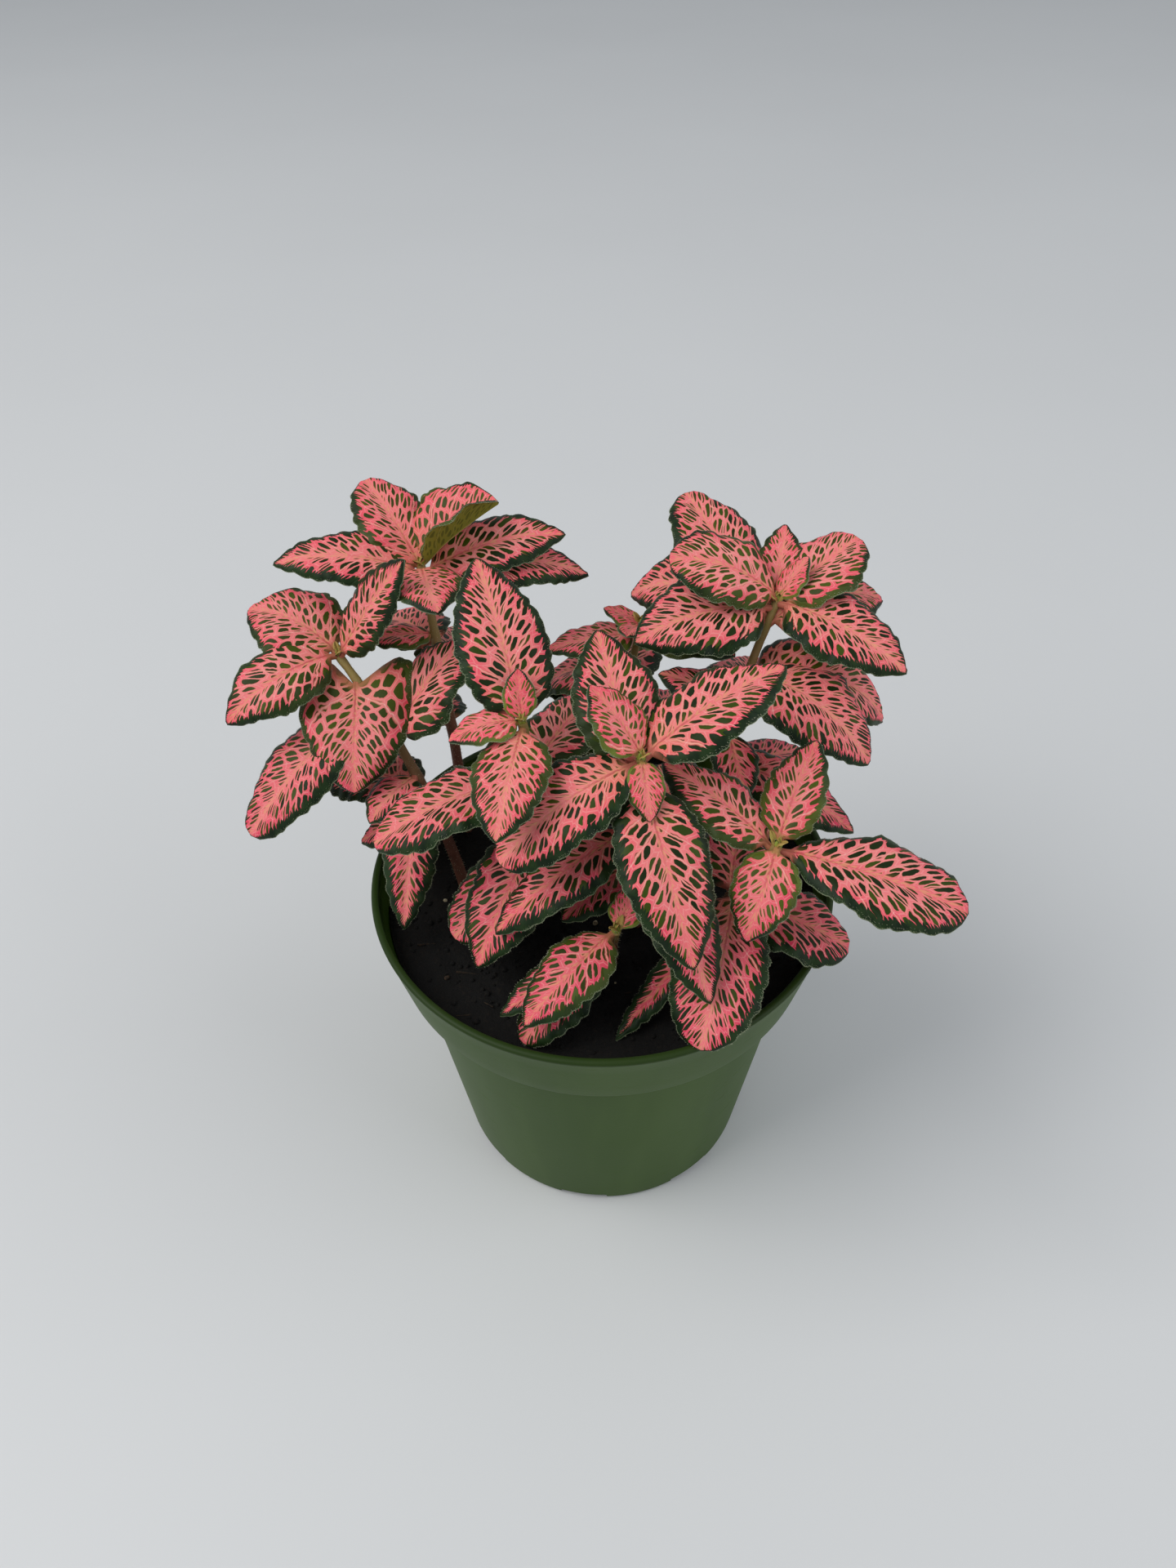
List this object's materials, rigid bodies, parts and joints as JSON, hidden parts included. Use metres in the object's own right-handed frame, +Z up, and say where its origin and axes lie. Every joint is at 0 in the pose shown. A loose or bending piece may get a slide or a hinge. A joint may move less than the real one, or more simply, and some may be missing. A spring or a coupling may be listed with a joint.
{
  "type": "potted nerve plant",
  "caption": "Low leafy house plant with net-veined pink leaves in opposite pairs, growing from soil in a plain round tapered nursery pot with a wide rim band.",
  "frame": {"origin": "centre of the flat underside of the pot's floor, on the surface that the pot stands on", "axes": "+Z up along the pot's axis; -Y towards the low front of the plant, +X to the right seen from the front"},
  "size_m": [0.1579, 0.1257, 0.1582],
  "materials": {
    "pot_plastic": "satin, moulded green plastic",
    "soil": "rough, dark and moist",
    "leaf_and_stem": "soft satin, pink veins on dark green"
  },
  "bodies": {
    "root": {"pot": "pot_plastic", "potting_soil": "soil", "leafy_stem_back_left": "leaf_and_stem", "leafy_stem_left": "leaf_and_stem", "leafy_stem_middle_left": "leaf_and_stem", "leafy_stem_middle": "leaf_and_stem", "leafy_stem_front_right": "leaf_and_stem", "leafy_stem_back_right": "leaf_and_stem", "leafy_stem_front": "leaf_and_stem", "leafy_stem_back": "leaf_and_stem"}
  },
  "joints": []
}
